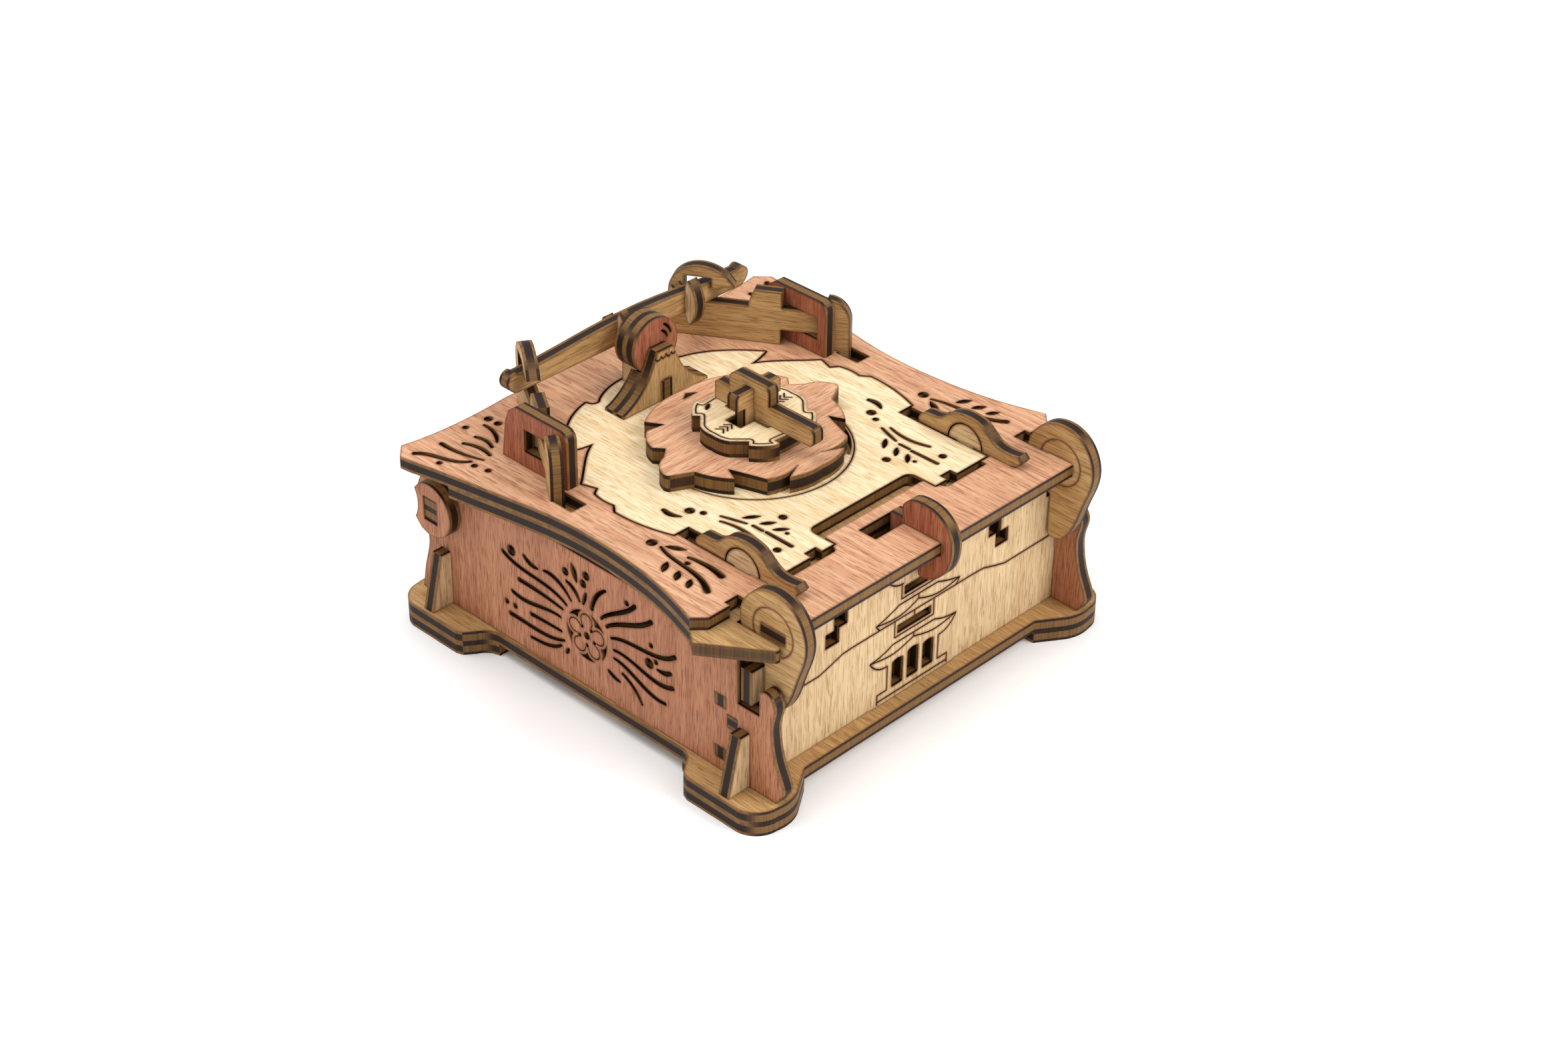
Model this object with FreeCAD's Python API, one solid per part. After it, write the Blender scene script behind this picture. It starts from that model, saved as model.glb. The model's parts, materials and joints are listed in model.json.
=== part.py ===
import FreeCAD, Part
import math
import os
os.makedirs("parts", exist_ok=True)

# Wooden puzzle box of laser-cut plywood. Millimetres, +Z up, front towards -Y.
# The origin is the bottom centre of the foot pads.

V = FreeCAD.Vector

# ---- driving dimensions ----
PLY = 3.0                    # sheet thickness of the case, lid and levers
WHEEL_PLY = 4.0              # thicker sheet of the leaf wheel and the dial
KERF = 0.3                   # width left by the laser between flush pieces
INSERT_GAP = 0.5             # gap round the loose-fitting insert
BASE_TOP = 2 * PLY           # foot pad and base plate
LOWER_Z = 39.0               # underside of the lower lid layer
LID_Z = LOWER_Z + PLY        # underside of the top lid layer
TOP_Z = LID_Z + PLY          # lid surface
IN_X = 46.0                  # inner faces of the side panels
OUT_X = IN_X + PLY           # outer faces of the side panels
WALL_Y = 44.3                # inner faces of the front and rear panels
STRIP_Y = -53.4              # front edge of the lid
HINGE_Y = 46.3               # lid hinge line
HINGE_Z = 30.8
BEARING_R = 5.9              # bearing disc in the side panel
BEARING_GAP = 0.1
EAR_R = 8.0                  # ear of the side panel round the bearing
LEVER_X = 42.4               # inner face of a corner lever
LEVER_Y = -50.0              # axis of the corner levers
LEVER_Z = 43.9
LEVER_HUB_R = 5.4
LOW_X = 32.4                 # inner face of a low lever
LOW_Y = -31.7                # axis of the low levers
LOW_HUB_R = 4.6
KEY_X = 0.0                  # left face of the sliding key
KEY_TRAVEL = 8.0
ROTOR_R = 21.4
ROTOR_HUB_R = 8.0
PIVOT_R = 6.0                # pivot of the dial inside the leaf wheel
SUN_Z = 57.3
SUN_R = 6.6
MOUNTAIN_Y = 27.0            # front face of the mountain bracket
RAIL_Y = 40.3                # front face of the rear rail
CENTRE_SHIFT = 1.4           # brings the middle of the box, front lever to rear foot, onto the origin
POST_FOOT = (45.2, 12.1)     # centre line of a post at its front end
POST_DIR = (-0.530, 0.848)   # its run towards the back, in plan
BLOCK_X = 37.5               # inner face of a lap block
PANEL_SHIFT = 1.1            # the upper front panel sits a little to the right


# ---- outlines: a point is (u, v); "m" marks the middle of an arc, "s" a point on a smooth curve ----
def point(node):
    return V(node[0], node[1], 0)


def span(start, middle, end):
    if not middle:
        return Part.LineSegment(point(start), point(end)).toShape()
    if middle[0][2] == "m":
        return Part.Arc(point(start), point(middle[0]), point(end)).toShape()
    curve = Part.BSplineCurve()
    curve.interpolate([point(p) for p in [start] + middle + [end]])
    return curve.toShape()


def outline(path):
    loop = list(path) + [path[0]]
    spans = []
    start = loop[0]
    middle = []
    for node in loop[1:]:
        if len(node) == 3:
            middle.append(node)
            continue
        spans.append(span(start, middle, node))
        start = node
        middle = []
    return Part.Wire(spans)


def mirrored(path):
    """A half outline from the centre line round to the centre line, completed by its mirror image."""
    other = [(-node[0],) + tuple(node[1:]) for node in reversed(path)]
    return list(path) + [n for n in other if abs(n[0]) > 1e-6]


def circle(x, y, radius):
    return Part.Wire([Part.Circle(V(x, y, 0), V(0, 0, 1), radius).toShape()])


def box_path(x0, x1, y0, y1):
    return [(x0, y0), (x1, y0), (x1, y1), (x0, y1)]


def leaf(start, end, width):
    """A lens-shaped cut between two tips."""
    mx = (start[0] + end[0]) / 2
    my = (start[1] + end[1]) / 2
    length = math.hypot(end[0] - start[0], end[1] - start[1])
    nx = -(end[1] - start[1]) / length * width / 2
    ny = (end[0] - start[0]) / length * width / 2
    return outline([start, (mx + nx, my + ny, "m"), end, (mx - nx, my - ny, "m")])


def stroke(points, widths):
    """A brush stroke: a smooth band of changing width with round ends."""
    count = len(points)
    left = []
    right = []
    ends = []
    for i in range(count):
        before = points[max(i - 1, 0)]
        after = points[min(i + 1, count - 1)]
        length = math.hypot(after[0] - before[0], after[1] - before[1])
        tx = (after[0] - before[0]) / length
        ty = (after[1] - before[1]) / length
        half = widths[i] / 2
        left.append((points[i][0] - ty * half, points[i][1] + tx * half))
        right.append((points[i][0] + ty * half, points[i][1] - tx * half))
        ends.append((tx * half, ty * half))
    start_cap = (points[0][0] - ends[0][0], points[0][1] - ends[0][1], "m")
    end_cap = (points[-1][0] + ends[-1][0], points[-1][1] + ends[-1][1], "m")
    path = [left[0]]
    path += [p + ("s",) for p in left[1:-1]]
    path += [left[-1], end_cap, right[-1]]
    path += [p + ("s",) for p in reversed(right[1:-1])]
    path += [right[0], start_cap]
    return outline(path)


def line_cut(points, width=0.32):
    """A narrow engraved line along a polyline."""
    cuts = []
    for start, end in zip(points[:-1], points[1:]):
        cuts.append(stroke([start, end], [width, width]))
    return cuts


def curve_cut(points, width=0.32):
    """A narrow engraved smooth line."""
    return [stroke(points, [width] * len(points))]


def grow(wire, distance):
    """The outline moved outwards by a distance, with its free curves drawn again as smooth curves."""
    edges = []
    for edge in wire.makeOffset2D(distance).OrderedEdges:
        if isinstance(edge.Curve, (Part.Line, Part.Circle)):
            edges.append(edge)
            continue
        curve = Part.BSplineCurve()
        curve.interpolate(edge.discretize(9))
        edges.append(curve.toShape())
    return Part.Wire(Part.__sortEdges__(edges))


def as_wire(shape):
    return shape if isinstance(shape, Part.Wire) else outline(shape)


def sheet(shape, holes=(), thick=PLY, low=0.0):
    """Cut a flat piece from the sheet, still lying in its own plane."""
    solid = Part.Face(as_wire(shape)).extrude(V(0, 0, thick))
    tools = [Part.Face(as_wire(h)).extrude(V(0, 0, thick + 2)) for h in holes]
    for tool in tools:
        tool.translate(V(0, 0, -1))
    if tools:
        solid = solid.cut(tools)
    solid.translate(V(0, 0, low))
    return solid


def engrave(solid, cuts, top, depth=0.3):
    """Scorched grooves in the face that lies at height top; they run downwards from it."""
    tools = [Part.Face(c).extrude(V(0, 0, depth + 0.2)) for c in cuts]
    for tool in tools:
        tool.translate(V(0, 0, top - depth))
        solid = solid.cut(tool)
    return solid


def turned(solid, along, across, origin=(0, 0, 0)):
    """Stand a flat piece up: its u, v and thickness follow along, across and their cross product."""
    w = V(*along).cross(V(*across))
    matrix = FreeCAD.Matrix(along[0], across[0], w.x, origin[0],
                            along[1], across[1], w.y, origin[1],
                            along[2], across[2], w.z, origin[2],
                            0, 0, 0, 1)
    return solid.transformed(matrix)


def facing_x(shape, x, holes=(), thick=PLY):
    """A plate drawn in (y, z), from x towards +X."""
    return turned(sheet(shape, holes, thick), (0, 1, 0), (0, 0, 1), (x, 0, 0))


def facing_y(shape, y, holes=(), thick=PLY):
    """A plate drawn in (x, z), from y towards +Y."""
    return turned(sheet(shape, holes, thick, -thick), (1, 0, 0), (0, 0, 1), (0, y, 0))


def other_side(solid):
    return solid.mirror(V(0, 0, 0), V(1, 0, 0))


def block(x0, x1, y0, y1, z0, z1):
    return Part.makeBox(x1 - x0, y1 - y0, z1 - z0, V(x0, y0, z0))


def save(solid, node):
    solid = solid.removeSplitter()
    solid.translate(V(0, CENTRE_SHIFT, 0))
    solid.exportStep("parts/" + node + ".step")
    print(node, "solids", len(solid.Solids), "valid", solid.isValid(), "volume", round(solid.Volume))


def save_pair(right_solid, node):
    save(right_solid, node + "_right")
    save(other_side(right_solid), node + "_left")


# ---- base plate and foot pads ----
corner = [(49.6, 28.5), (50.6, 31.0, "m"), (52.6, 32.6), (55.0, 34.4), (55.6, 36.0), (55.6, 50.6),
          (53.7, 54.2, "m"), (49.5, 55.9), (45.6, 56.0, "m"), (42.6, 54.9), (36.5, 50.8)]


def flip_y(path):
    return [(node[0], -node[1]) + tuple(node[2:]) for node in reversed(path)]


right_edge = flip_y(corner) + corner
base_path = mirrored(right_edge)
front_tab = box_path(-13.0, 13.0, -WALL_Y - PLY, -WALL_Y)
rear_tab = box_path(-13.0, 13.0, WALL_Y, WALL_Y + PLY)
side_tabs = []
for x0 in (-OUT_X, IN_X):
    for y0 in (-20.0, 8.0):
        side_tabs.append(box_path(x0, x0 + PLY, y0, y0 + 12.0))
save(sheet(base_path, [front_tab, rear_tab] + side_tabs, low=PLY), "base_plate")

pad_path = corner + [(36.5, 45.0), (39.6, 39.0, "m"), (43.4, 36.0), (43.4, 28.5)]
pad = sheet(pad_path)
save(pad, "foot_pad_rear_right")
save(other_side(pad), "foot_pad_rear_left")
front_pad = pad.mirror(V(0, 0, 0), V(0, 1, 0))
save(front_pad, "foot_pad_front_right")
save(other_side(front_pad), "foot_pad_front_left")
save(block(-IN_X + 0.2, IN_X - 0.2, -WALL_Y + 0.2, WALL_Y - 0.2, BASE_TOP, BASE_TOP + PLY), "floor_liner")

# ---- side panels, drawn in (y, z) ----
POCKET = (-50.0, -43.9, 25.3)
side_path = [
    (-20.0, BASE_TOP), (-20.0, PLY), (-8.0, PLY), (-8.0, BASE_TOP), (8.0, BASE_TOP), (8.0, PLY),
    (20.0, PLY),
    (20.0, BASE_TOP), (WALL_Y, BASE_TOP), (WALL_Y, 19.6), (WALL_Y + PLY, 19.6), (WALL_Y + PLY, BASE_TOP),
    (54.3, BASE_TOP), (53.8, 8.5, "s"), (53.3, 11.2, "s"), (52.2, 15.2, "s"), (51.4, 18.4, "s"),
    (51.4, 21.2),
    (52.2, 25.4), (HINGE_Y + EAR_R, HINGE_Z, "m"), (HINGE_Y, HINGE_Z + EAR_R),
    (POCKET[1], HINGE_Z + EAR_R), (POCKET[1], POCKET[2]), (POCKET[0], POCKET[2]), (POCKET[0], 30.8),
    (-51.6, 31.9, "m"), (-53.5, 30.6), (-54.2, 28.8, "s"), (-53.4, 24.6, "s"), (-53.4, 21.2, "s"),
    (-53.9, 18.0, "s"), (-55.0, 14.5, "s"), (-56.3, 11.6, "s"), (-56.9, 9.8), (-56.7, 8.8),
    (-54.9, BASE_TOP),
    (-WALL_Y - PLY, BASE_TOP), (-WALL_Y - PLY, 19.6), (-WALL_Y, 19.6), (-WALL_Y, BASE_TOP),
]
rays = [
    ([(6.6, 24.2), (11.0, 25.8), (17.0, 26.4), (22.5, 27.0), (26.4, 28.4)], [0.7, 1.0, 1.0, 1.1, 1.2]),
    ([(7.9, 22.5), (13.0, 23.1), (21.5, 23.4)], [0.7, 1.0, 1.2]),
    ([(8.7, 20.1), (13.0, 19.9), (20.0, 18.8), (23.9, 19.3)], [0.7, 0.9, 1.1, 1.0]),
    ([(8.5, 16.5), (13.0, 16.4), (18.0, 16.2)], [0.7, 0.9, 1.1]),
    ([(7.7, 14.5), (11.0, 13.4), (18.0, 12.9), (24.9, 13.0)], [0.7, 0.9, 1.1, 1.2]),
    ([(8.7, 12.7), (11.5, 11.1), (15.0, 10.3), (18.4, 10.0)], [0.7, 0.9, 0.9, 0.7]),
    ([(5.1, 26.0), (8.5, 28.8), (11.5, 29.7), (13.6, 29.5)], [0.6, 1.1, 1.1, 0.5]),
    ([(15.4, 29.1), (17.8, 29.3), (19.7, 30.4)], [0.6, 1.3, 0.9]),
    ([(2.5, 27.2), (4.1, 29.4), (6.4, 30.4)], [0.7, 1.2, 0.7]),
    ([(0.4, 30.1), (0.9, 28.5), (1.3, 27.2)], [0.7, 1.1, 0.8]),
    ([(-5.6, 33.7), (-3.2, 31.5), (-1.3, 27.2)], [0.7, 1.1, 1.2]),
    ([(-14.4, 34.2), (-12.2, 32.0), (-7.4, 28.8), (-4.1, 26.1)], [1.1, 1.1, 1.0, 0.7]),
    ([(-19.2, 32.7), (-16.5, 30.6), (-10.5, 27.7), (-5.7, 24.8)], [1.2, 1.2, 1.1, 0.8]),
    ([(-26.0, 27.4), (-22.5, 25.4), (-13.0, 24.1), (-7.1, 22.6)], [1.1, 1.1, 1.0, 0.7]),
    ([(-25.3, 19.2), (-22.0, 18.3), (-14.0, 19.5), (-7.8, 19.9)], [1.1, 1.2, 1.0, 0.7]),
    ([(-23.0, 14.1), (-19.8, 14.1), (-13.0, 16.6), (-7.8, 17.8)], [0.9, 1.1, 1.1, 0.7]),
    ([(-16.0, 10.3), (-14.0, 12.9), (-10.3, 15.1)], [0.8, 1.0, 0.8]),
    ([(-9.4, 12.6), (-7.8, 12.9), (-6.1, 13.7)], [0.6, 1.1, 0.9]),
    ([(-24.7, 22.6), (-23.0, 21.8), (-20.7, 21.6)], [1.0, 1.2, 0.5]),
]
ray_dots = [(0.2, 34.6, 1.05), (1.2, 32.2, 1.0), (6.6, 32.7, 1.0), (23.7, 29.8, 1.3), (23.2, 15.7, 0.7),
            (25.9, 15.7, 0.7), (-12.0, 33.8, 0.7), (-19.0, 26.8, 0.65), (-20.4, 23.3, 0.65),
            (-18.4, 22.0, 1.25)]
FLOWER = (0.5, 19.3)
FLOWER_R = 6.1
PETAL_R = 2.55
PETAL_AT = 3.75


def around(radius, turn):
    return FLOWER[0] + radius * math.cos(turn), FLOWER[1] + radius * math.sin(turn)


def flower_opening():
    """What is sawn out of the disc: the spaces between the five petals and the rim."""
    disc = Part.Face(circle(FLOWER[0], FLOWER[1], FLOWER_R)).extrude(V(0, 0, PLY + 2))
    kept = [Part.Face(circle(FLOWER[0], FLOWER[1], 4.4)).extrude(V(0, 0, PLY + 2))]
    for k in range(5):
        x, y = around(PETAL_AT, math.pi / 2 + k * 2 * math.pi / 5)
        kept.append(Part.Face(circle(x, y, PETAL_R)).extrude(V(0, 0, PLY + 2)))
    opening = disc.cut(kept)
    opening.translate(V(0, 0, -1))
    return opening


side_holes = [stroke(points, widths) for points, widths in rays]
side_holes += [circle(x, y, r) for x, y, r in ray_dots]
side_holes += [leaf((4.7, 36.0), (3.1, 31.4), 1.7), leaf((6.1, 13.2), (7.4, 11.3), 1.1)]
side_holes += [circle(FLOWER[0], FLOWER[1], 0.9), circle(HINGE_Y, HINGE_Z, BEARING_R + BEARING_GAP)]
petal_lines = []
for k in range(5):
    turn = math.pi / 2 + k * 2 * math.pi / 5
    x, y = around(2.4, turn + math.pi / 5)
    side_holes.append(circle(x, y, 0.5))
    x, y = around(PETAL_AT, turn)
    for i in range(8):
        a = turn - 2.2 + i * 0.55
        b = a + 0.55
        petal_lines += line_cut([(x + 1.75 * math.cos(a), y + 1.75 * math.sin(a)),
                                 (x + 1.75 * math.cos(b), y + 1.75 * math.sin(b))], 0.26)
side_holes += [box_path(-40.7, -37.5, 22.1, 25.1), box_path(-43.9, -41.0, 17.9, 21.2), box_path(-40.7, -37.5, 8.9, 11.9)]
side_flat = sheet(side_path, side_holes).cut([flower_opening()])
side_right = turned(engrave(side_flat, petal_lines, PLY), (0, 1, 0), (0, 0, 1), (IN_X, 0, 0))
save_pair(side_right, "side_panel")

# ---- lower front and rear panels, drawn in (x, z); their ends come through the side panels as wings ----
ridge = [(46.0, 23.3), (29.0, 23.2), (25.6, 24.1), (22.0, 25.2), (19.0, 25.35)]
wing = [(13.0, BASE_TOP), (OUT_X + 5.8, BASE_TOP), (OUT_X + 2.5, 19.5), (IN_X, 19.5)]
front_path = mirrored([(13.0, PLY)] + wing + ridge)
storey = [(-5.3, 22.0), (5.3, 22.0), (5.3, 24.1), (-5.3, 24.1)]
windows = []
for x in (-4.8, 0.0, 4.8):
    top = 16.2 if x == 0.0 else 15.6
    windows.append([(x - 1.75, 8.9), (x - 1.5, 8.7), (x + 1.5, 8.7), (x + 1.75, 8.9),
    (x + 1.75, top - 0.5), (x, top, "m"),
                    (x - 1.75, top - 0.5)])


def both(points):
    return [points, [(-p[0], p[1]) for p in points]]


def roof(cx, tip, tip_z, ridge_half, ridge_z, apex_z, eave_z):
    """Engraved lines of one curved roof: ridge, slopes, hanging eaves and undersides."""
    cuts = line_cut([(cx - ridge_half, ridge_z), (cx + ridge_half, ridge_z)])
    cuts += line_cut([(cx, apex_z), (cx, ridge_z)])
    for side in (-1, 1):
        slope = [(ridge_half, ridge_z), (ridge_half + 2.4, ridge_z - 0.9), (tip, tip_z)]
        eave = [(tip, tip_z), (9.6, eave_z + 0.2), (6.0, eave_z), (3.2, eave_z + 0.5), (0.0, apex_z)]
        under = [(tip, tip_z), (tip - 1.2, tip_z - 1.6), (tip - 2.8, tip_z - 2.7), (tip - 5.2, tip_z - 3.2)]
        for points in (slope, eave, under):
            cuts += curve_cut([(cx + side * u, z) for u, z in points])
    return cuts


tower = roof(0.0, 13.5, 18.2, 6.5, 19.8, 18.7, 17.3)
for points in both([(8.0, 15.0), (8.0, 8.8), (11.0, 8.8), (11.0, 6.4)]):
    tower += line_cut(points)
tower += line_cut([(-11.0, 7.0), (11.0, 7.0)])
tower += line_cut([(-6.1, 25.3), (-6.1, 21.3), (6.1, 21.3), (6.1, 25.3)])
tower += line_cut([(0.0, 24.1), (0.0, 25.3)])
front_flat = sheet(front_path, windows + [storey], low=-PLY)
front = turned(engrave(front_flat, tower, 0.0), (1, 0, 0), (0, 0, 1), (0, -WALL_Y - PLY, 0))
save(front, "front_panel")
rear_path = mirrored([(13.0, PLY)] + wing + [(IN_X, 25.0)])
save(facing_y(rear_path, WALL_Y), "rear_panel")
stay_path = [(35.0, 9.0), (OUT_X, 9.0), (OUT_X, 11.8), (IN_X, 11.8), (IN_X, 22.2), (OUT_X, 22.2),
    (OUT_X, 25.0),
             (40.0, 25.0), (35.0, 20.0)]
save_pair(facing_y(stay_path, -40.6), "corner_stay")
save_pair(block(41.0, OUT_X, -43.8, -41.1, 18.0, 21.0), "stay_wedge")
catch_path = box_path(-14.5, -8.6, -WALL_Y, -38.0)
save(sheet(catch_path, low=21.9), "catch_block")

# ---- upper front panel: hangs from the lid and closes on the ridge line ----
upper_gap = 0.3
upper_ridge = [(x, z + upper_gap) for x, z in reversed(ridge[1:])]
upper_path = mirrored(upper_ridge + [(45.6, 23.6), (45.6, 26.2), (48.4, 26.2), (48.4, 34.2),
    (42.0, 34.2), (42.0, LID_Z)])
steps = []
for side in (-1, 1):
    for a, b, low, high in ((21.9, 25.9, 32.6, 36.0), (24.3, 28.4, 29.0, 32.6)):
        x0, x1 = sorted((side * a + PANEL_SHIFT, side * b + PANEL_SHIFT))
        steps.append(box_path(x0, x1, low, high))
loft = box_path(PANEL_SHIFT - 4.6, PANEL_SHIFT + 4.6, 31.0, 33.2)
upper_lines = roof(PANEL_SHIFT, 13.0, 27.0, 6.0, 29.1, 27.9, 26.2)
upper_lines += line_cut([(PANEL_SHIFT - 5.4, 34.0), (PANEL_SHIFT - 5.4, 30.3), (PANEL_SHIFT + 5.4, 30.3),
                         (PANEL_SHIFT + 5.4, 34.0)])
for side in (-1, 1):
    upper_lines += curve_cut([(PANEL_SHIFT + side * 9.6, 36.2), (PANEL_SHIFT + side * 7.6, 34.6),
                              (PANEL_SHIFT + side * 5.0, 34.0)])
upper_flat = engrave(sheet(upper_path, steps + [loft], low=-PLY), upper_lines, 0.0)
save(turned(upper_flat, (1, 0, 0), (0, 0, 1), (0, -WALL_Y - PLY, 0)), "front_upper_panel")

# ---- lid: top layer, lower layer and flush insert ----
curved_side = [(52.9, -31.0, "s"), (50.9, -23.5, "s"), (49.4, -14.0, "s"), (48.7, -4.0, "s"),
    (48.9, 6.0, "s"),
               (50.0, 15.0, "s"), (51.8, 25.0, "s"), (53.6, 35.0, "s")]
top_path = mirrored([
    (LEVER_X - 0.2, STRIP_Y), (LEVER_X + PLY, STRIP_Y), (LEVER_X + PLY, -46.6), (LEVER_X - 0.2, -46.6),
    (LEVER_X - 0.2, -37.1),
    (45.9, -37.1), (45.9, -38.6), (51.8, -38.6), (54.5, -36.0)] + curved_side + [
    (56.3, 47.5), (56.6, 49.8), (53.6, 53.0), (46.0, 51.9, "s"), (38.0, 51.6, "s"), (24.5, 52.4)])
insert_half = [
    (13.6, -30.7), (15.0, -31.3, "m"), (15.6, -32.7), (15.6, -38.2), (19.0, -38.2), (19.0, -36.3),
    (22.4, -36.3),
    (22.4, -38.2), (32.0, -38.2), (32.0, -12.8), (36.2, -12.8), (37.7, -8.0, "s"), (38.6, -3.0, "s"),
    (38.8, 1.8),
    (37.2, 3.8), (37.5, 6.8, "m"), (37.0, 9.8), (35.2, 10.9), (36.4, 14.6), (33.2, 17.4, "s"),
    (29.0, 21.2, "s"),
    (24.0, 24.6), (27.2, 25.2, "m"), (30.2, 26.2), (27.0, 30.0, "s"), (21.0, 35.1, "s"), (13.6, 38.1),
    (12.4, 36.3, "m"), (10.4, 37.0), (6.0, 39.1, "s"), (0.0, 39.9)]
insert_wire = outline(mirrored(insert_half))
front_gap = mirrored([(14.2, -35.0), (15.6, -35.8, "s"), (16.2, -38.4, "s"), (17.4, -40.2),
    (29.6, -40.2), (29.6, -37.5),
                      (22.0, -34.5), (17.0, -31.0), (12.0, -28.0)])
grown = Part.Face(grow(insert_wire, INSERT_GAP))
key_slot = box_path(KEY_X - KEY_TRAVEL - 0.3, KEY_X + PLY + 0.3, -43.1, -38.3)
low_slot = box_path(LOW_X - 0.25, LOW_X + PLY + 0.25, LOW_Y - 2.4, -13.2)
low_slot_left = [(-x, y) for x, y in low_slot]
POST_HOLE = box_path(41.2, 45.4, 8.1, 14.6)
POST_HOLE_LEFT = [(-x, y) for x, y in POST_HOLE]

front_vine = [
    stroke([(-41.2, -14.2), (-42.5, -20.0), (-43.1, -26.0), (-45.7, -32.0)], [0.7, 1.0, 1.2, 1.6]),
    stroke([(-39.9, -20.9), (-39.3, -25.5), (-39.9, -30.3)], [0.8, 1.3, 1.6]),
    leaf((-40.5, -14.5), (-38.2, -18.8), 1.5), leaf((-47.3, -20.9), (-43.9, -18.9), 1.5),
    leaf((-47.5, -24.9), (-44.5, -22.9), 1.5), leaf((-47.7, -28.5), (-44.9, -26.7), 1.4),
    circle(-41.4, -11.7, 1.2), circle(-41.5, -22.2, 0.65)]
rear_vine = [
    stroke([(-53.6, 48.5), (-51.9, 46.3), (-50.4, 42.0), (-47.3, 37.6)], [1.2, 1.3, 1.2, 0.8]),
    stroke([(-47.0, 47.4), (-46.8, 43.0), (-45.0, 36.2)], [1.2, 1.0, 0.6]),
    stroke([(-43.6, 44.2), (-42.4, 41.0), (-42.7, 36.7)], [0.9, 1.1, 0.9]),
    stroke([(-40.0, 44.4), (-39.5, 41.5), (-40.3, 38.8)], [0.9, 1.0, 0.8]),
    stroke([(-35.5, 46.8), (-36.0, 43.0), (-38.2, 39.6)], [0.7, 1.0, 0.6])]
rear_vine += [circle(x, y, r) for x, y, r in ((-39.0, 48.9, 0.75), (-33.2, 48.1, 1.0), (-33.0, 45.2, 0.9),
                                             (-52.3, 41.9, 0.7), (-47.8, 35.8, 0.75), (-47.0, 32.3, 0.75))]


def pierce(solid, wires, low, thick):
    """Saw the same pattern out of the left half and, mirrored, out of the right half."""
    tools = [Part.Face(w).extrude(V(0, 0, thick + 2)) for w in wires]
    for tool in tools:
        tool.translate(V(0, 0, low - 1))
    return solid.cut(tools + [other_side(t) for t in tools])


lid_top = sheet(top_path, [key_slot, low_slot, low_slot_left, POST_HOLE, POST_HOLE_LEFT], low=LID_Z)
insert_hole = grown.extrude(V(0, 0, PLY + 2))
insert_hole.translate(V(0, 0, LID_Z - 1))
lid_top = lid_top.cut(insert_hole)
lid_top = lid_top.cut(sheet(front_gap, thick=PLY + 2, low=LID_Z - 1))
lid_top = pierce(lid_top, front_vine + rear_vine, LID_Z, PLY)
save(lid_top, "lid_top")

insert_vine = [
    stroke([(-31.3, -4.7), (-31.5, -6.8), (-30.5, -9.0)], [1.1, 1.4, 0.5]),
    stroke([(-24.6, -14.7), (-23.7, -17.4), (-22.8, -20.4)], [0.6, 0.8, 0.6]),
    stroke([(-26.0, -16.0), (-25.1, -21.0), (-26.2, -27.0)], [0.6, 0.9, 0.9]),
    stroke([(-22.4, -21.9), (-22.4, -24.6)], [0.8, 0.8]),
    stroke([(-22.2, -25.6), (-22.3, -32.7)], [0.9, 1.0]),
    leaf((-22.1, -18.2), (-18.6, -20.6), 1.2), leaf((-21.1, -22.3), (-18.1, -24.5), 1.2),
    leaf((-20.8, -25.7), (-17.9, -28.1), 1.2),
    circle(-27.7, -8.7, 1.1), circle(-26.3, -11.3, 0.75), circle(-15.8, -24.0, 0.95), circle(-25.3, -31.6, 0.9),
    circle(-19.5, -28.8, 0.5)]
insert = sheet(insert_wire, [circle(0, 0, ROTOR_R + KERF)], low=LID_Z)
save(pierce(insert, insert_vine, LID_Z, PLY), "lid_insert")

lower_path = mirrored([
    (LEVER_X - 0.2, -WALL_Y), (LEVER_X - 0.2, -40.5), (45.9, -40.5), (45.9, -52.2), (46.6, -53.1, "m"),
    (47.6, -52.9),
    (57.0, -39.4), (54.5, -36.0)] + curved_side[:-1] + [(53.9, 37.4), (45.7, 37.4), (45.7, WALL_Y + PLY)])
lower_holes = [circle(0, 0, ROTOR_HUB_R + 0.1), box_path(KEY_X - KEY_TRAVEL - 0.5, KEY_X + PLY + 0.5, -43.3, -38.1),
               low_slot, low_slot_left]
save(sheet(lower_path, lower_holes, low=LOWER_Z), "lid_lower")

# ---- hinge: two stacked bars turn with the lid in bearing discs ----
BAR_W = 4.4
bar_y = (HINGE_Y - BAR_W / 2, HINGE_Y + BAR_W / 2)
bar_hole = box_path(bar_y[0], bar_y[1], HINGE_Z - PLY, HINGE_Z + PLY)
bar_x = OUT_X + 0.2 + PLY - 0.3
save(block(-bar_x, bar_x, bar_y[0], bar_y[1], HINGE_Z - PLY, HINGE_Z), "hinge_bar_lower")
save(block(-bar_x, bar_x, bar_y[0], bar_y[1], HINGE_Z, HINGE_Z + PLY), "hinge_bar_upper")
save_pair(facing_x(circle(HINGE_Y, HINGE_Z, BEARING_R), IN_X, [bar_hole], PLY + 0.2), "bearing_disc")
cap_path = [(49.8, 36.3), (HINGE_Y - 6.5, HINGE_Z, "m"), (47.6, 24.4), (49.6, 25.1), (51.4, 27.2),
    (50.4, 30.9, "m"),
            (51.3, 34.6)]
save_pair(facing_x(cap_path, OUT_X + 0.2, [bar_hole]), "hinge_cap")
arm_path = [(40.8, LOWER_Z), (40.8, 30.5), (42.2, 27.0, "m"), (46.3, 25.4), (50.0, 27.4, "m"), (51.2, 31.0),
            (50.6, 36.5), (47.3, LOWER_Z)]
save_pair(facing_x(arm_path, 42.5, [bar_hole]), "hinge_arm")
rear_strip = block(-42.4, 42.4, WALL_Y, WALL_Y + PLY, HINGE_Z + PLY, LOWER_Z)
save(rear_strip, "rear_upper_strip")

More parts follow.
